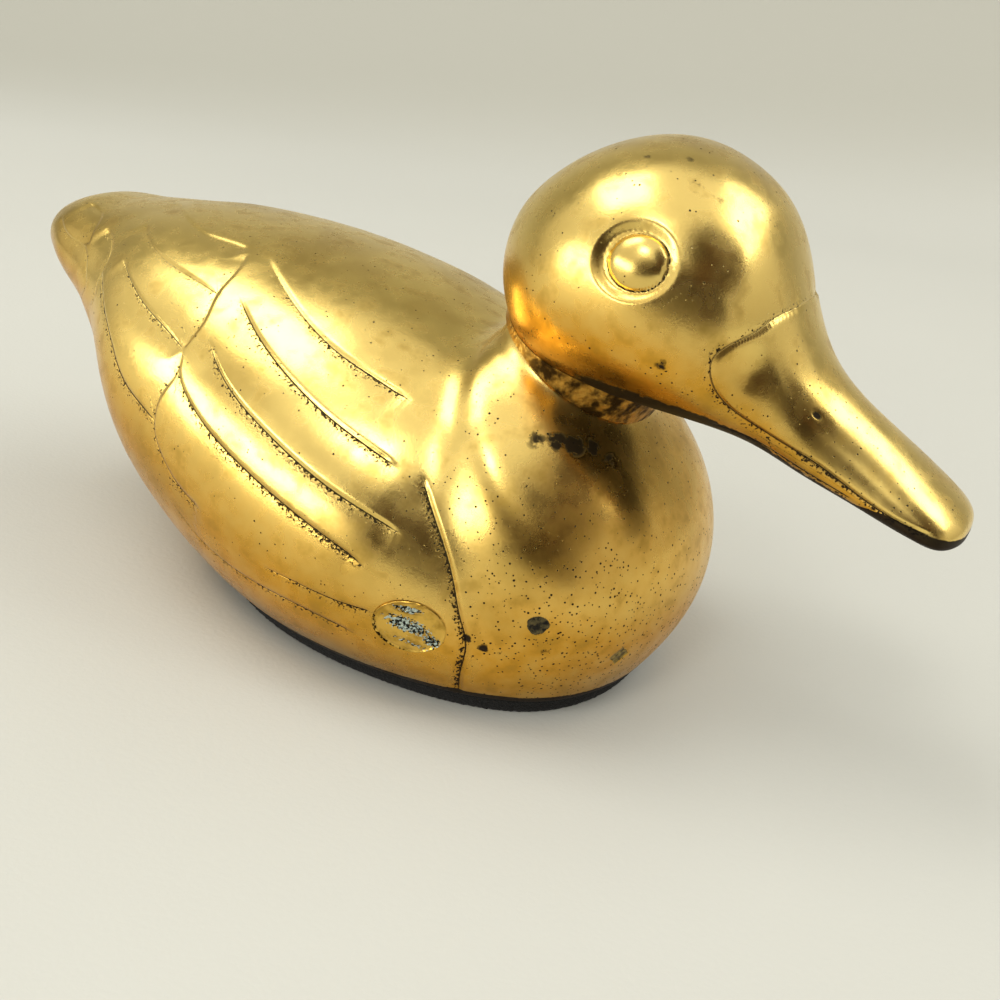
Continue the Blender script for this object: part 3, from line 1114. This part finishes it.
class DUCK_OT_body(bpy.types.Operator):
    """Build the body casting with its neck"""

    bl_idname = "duck.body"
    bl_label = "Body casting"

    def execute(self, context):
        settings = context.scene.duck
        rings = trunk_rings(settings.body_steps, settings.ring_points)
        normals = grid_normals(rings)
        x, y, z = rings[..., 0], rings[..., 1], rings[..., 2]
        facing_up = normals[..., 2]

        leaning = np.stack([x, LEAN * (z - np.abs(y))], -1)
        wing = stepped_lines(leaning, WING_LINES + REAR_LINES, settings.line_depth)
        lowering, edge, dark = stepped_lines(np.stack([x, z], -1), SIDE_LINES, settings.line_depth)
        on_flank = smooth_steps(np.abs(y), *FLANK_OUT)
        side = (lowering * on_flank, np.where(on_flank > FLANK_SHARE, edge, FAR_OFF), dark * on_flank)
        lowering, edge, dark = nearer(wing, side)

        lowering = lowering + waviness(rings, settings.hand_wave / MM)
        above_foot = ((z - FELT_THICKNESS) / FOOT_ROUNDING).clip(0, 1)
        lowering = lowering + FOOT_ROUNDING * (1 - np.sqrt(1 - (1 - above_foot) ** 2))
        from_patch = np.hypot((x - PATCH_X) / (PATCH_LENGTH / 2), (z - PATCH_Z) / (PATCH_HEIGHT / 2))
        sunk = smooth_steps(from_patch, *PATCH_EDGE) * (y < 0)
        for start, way, square in pin_spots():
            sunk = np.maximum(sunk, pin_share(rings, start, way, square))
        skin = rings - normals * (lowering + sunk * PIECE_SINK)[..., None]

        breast_amber = smooth_steps(x, *BREAST_AMBER_ALONG) * smooth_steps(z, *BREAST_AMBER_UP)
        amber = np.maximum(smooth_steps(facing_up, *BODY_AMBER_FACING), BREAST_AMBER * breast_amber)
        breast_pitted = smooth_steps(x, *BREAST_PITTED_ALONG) * smooth_steps(facing_up, *BREAST_PITTED_FACING)
        pitted = blots(rings, PITTED_PLACES) + FRONT_PITTED * smooth_steps(x, *FRONT_PITTED_ALONG)
        pitted = (pitted + BREAST_PITTED * breast_pitted).clip(0, 1)
        soot = np.maximum(blots(rings, SOOT_PLACES), smooth_steps(z, *FOOT_SOOT_UP))
        piece = grid_object("body_skin", skin, {
            "edge": edge, "dark": dark, "pitted": pitted, "amber": amber, "soot": soot,
            "heat": blots(rings, HEAT_PLACES)})
        close_mesh(piece, FELT_THICKNESS)
        put(piece, cast_brass("polished_body_brass", settings), "body_brass", "body_casting")
        return {"FINISHED"}


class DUCK_OT_repairs(bpy.types.Operator):
    """Build the core pins and the solder patch in the skin of the body"""

    bl_idname = "duck.repairs"
    bl_label = "Pins and patch"

    def execute(self, context):
        tree = skin_tree(bpy.data.objects["body_skin"])
        round_end = core_pin_metal("rusty_core_pin", "#14100B", "#5C5234")
        square_end = core_pin_metal("filed_core_pin", "#5A4A22", "#A08A48")
        for pin_number, (start, way, square) in enumerate(pin_spots()):
            plug = pin_plug(pin_number, tree, start, way, square)
            put(plug, square_end if square else round_end, "pin_metal", "core_pins")
        put(patch_plug(tree), patch_metal(), "solder", "solder_patch")
        return {"FINISHED"}


class DUCK_OT_head(bpy.types.Operator):
    """Build the head casting with its bill"""

    bl_idname = "duck.head"
    bl_label = "Head casting"

    def execute(self, context):
        settings = context.scene.duck
        rings = face_rings(settings.head_steps, settings.ring_points)
        normals = grid_normals(rings)
        x, y, z = rings[..., 0], rings[..., 1], rings[..., 2]
        facing_up = normals[..., 2]
        both_sides = np.stack([x, np.abs(y), z], -1)

        lowering, edge, dark = stepped_lines(np.stack([x, z], -1), HEAD_LINES, settings.line_depth)
        on_side = smooth_steps(np.abs(y), *HEAD_LINE_OUT)
        lowering = lowering * (HEAD_LINE_SHARE + (1 - HEAD_LINE_SHARE) * on_side)
        eye, edge, dark = eye_marks(x, y, z, edge, dark)
        nostril = nostril_share(x, y, z)
        hollow = HOLLOW_DEPTH * blots(both_sides, HOLLOW_PLACES)
        lowering = lowering + eye + NOSTRIL_DEPTH * nostril + hollow
        lowering = lowering + waviness(rings, settings.hand_wave / MM)
        skin = rings - normals * lowering[..., None]

        amber = smooth_steps(facing_up, *HEAD_AMBER_FACING)
        low_edge = UNDER_BILL_START[1] - UNDER_BILL_FALL * (x - UNDER_BILL_START[0])
        low_edge = low_edge + UNDER_BILL_RISE * smooth_steps(x, *UNDER_BILL_RISE_ALONG)
        under_bill = smooth_steps(x, *UNDER_BILL_ALONG) * smooth_steps(low_edge - z, *UNDER_BILL_EDGE)
        under_head = smooth_steps(facing_up, *UNDER_HEAD_FACING) * smooth_steps(x, *UNDER_HEAD_ALONG)
        spots = np.maximum(blots(rings, HEAD_SPOTS), NOSTRIL_SOOT * nostril)
        soot = np.maximum(np.maximum(under_bill, under_head), spots)
        pitted = HEAD_PITTED_SHARE * smooth_steps(facing_up, *HEAD_PITTED_FACING)
        pitted = (pitted + blots(both_sides, HEAD_PITTED)).clip(0, 1)
        piece = grid_object("head_skin", skin, {
            "edge": edge, "dark": dark, "pitted": pitted, "amber": amber, "soot": soot,
            "heat": blots(rings, HEAD_HEAT)})
        close_mesh(piece)
        put(piece, cast_brass("polished_head_brass", settings), "head_brass", "head_casting")
        return {"FINISHED"}


class DUCK_OT_felt(bpy.types.Operator):
    """Build the felt under the foot"""

    bl_idname = "duck.felt"
    bl_label = "Felt pad"

    def execute(self, context):
        skin = bpy.data.objects["body_skin"].data
        near_floor = [v.co for v in skin.vertices if abs(v.co.z - FELT_THICKNESS * MM) < WELD * MM]
        rim = np.array(near_floor) / MM
        middle = rim.mean(axis=0)
        even = np.linspace(-np.pi, np.pi, FELT_POINTS, endpoint=False)
        reach = foot_reach(rim - middle, even) + FOOT_ROUNDING - FELT_INSET
        fluff = FELT_FLUFF * np.sin(even * 97) * np.sin(even * 61 + 1)
        fluff = fluff + FELT_FINE_FLUFF * np.sin(even * 211 + 2)
        rings = []
        for level, (up, inset) in enumerate(FELT_LEVELS):
            radius = reach - inset + fluff * np.cos(level * 1.7 + even * 31)
            along, across = middle[0] + radius * np.cos(even), middle[1] + radius * np.sin(even)
            rings.append(np.column_stack([along, across, np.full(len(even), up)]))
        piece = grid_object("felt_sole", np.array(rings), {})
        close_mesh(piece)
        put(piece, wool_felt(), "felt", "felt_pad")
        return {"FINISHED"}


class DUCK_OT_joints(bpy.types.Operator):
    """Paint the brazing metal, the base sheet and its solder"""

    bl_idname = "duck.joints"
    bl_label = "Joint metals"

    def execute(self, context):
        repaint("neck_braze", brazing_metal())
        repaint("base_plate", sheet_brass())
        repaint("base_solder", tin_solder())
        return {"FINISHED"}


class DUCK_OT_stage(bpy.types.Operator):
    """Build the floor, the lights and the camera"""

    bl_idname = "duck.stage"
    bl_label = "Stage"

    def execute(self, context):
        paper_sweep()
        photographer_card()
        for lamp in LAMPS:
            soft_lamp(*lamp)
        context.scene.world = pale_room()
        context.scene.camera = photo_camera()
        context.scene.view_settings.view_transform = "Standard"
        return {"FINISHED"}


class DUCK_PT_panel(bpy.types.Panel):
    """Buttons and settings of the duck"""

    bl_idname = "DUCK_PT_panel"
    bl_label = "Brass Duck"
    bl_space_type = "VIEW_3D"
    bl_region_type = "UI"
    bl_category = "Duck"

    def draw(self, context):
        for name in DuckSettings.__annotations__:
            self.layout.prop(context.scene.duck, name)
        for step in STEPS:
            self.layout.operator(step.bl_idname)


STEPS = (DUCK_OT_body, DUCK_OT_repairs, DUCK_OT_head, DUCK_OT_felt, DUCK_OT_joints, DUCK_OT_stage)
CLASSES = (DuckSettings,) + STEPS + (DUCK_PT_panel,)


def register():
    for item in CLASSES:
        bpy.utils.register_class(item)
    bpy.types.Scene.duck = bpy.props.PointerProperty(type=DuckSettings)


def unregister():
    del bpy.types.Scene.duck
    for item in reversed(CLASSES):
        bpy.utils.unregister_class(item)


def main():
    register()
    bpy.ops.duck.body()
    bpy.ops.duck.repairs()
    bpy.ops.duck.head()
    bpy.ops.duck.felt()
    bpy.ops.duck.joints()
    bpy.ops.duck.stage()


if __name__ == "__main__":
    main()
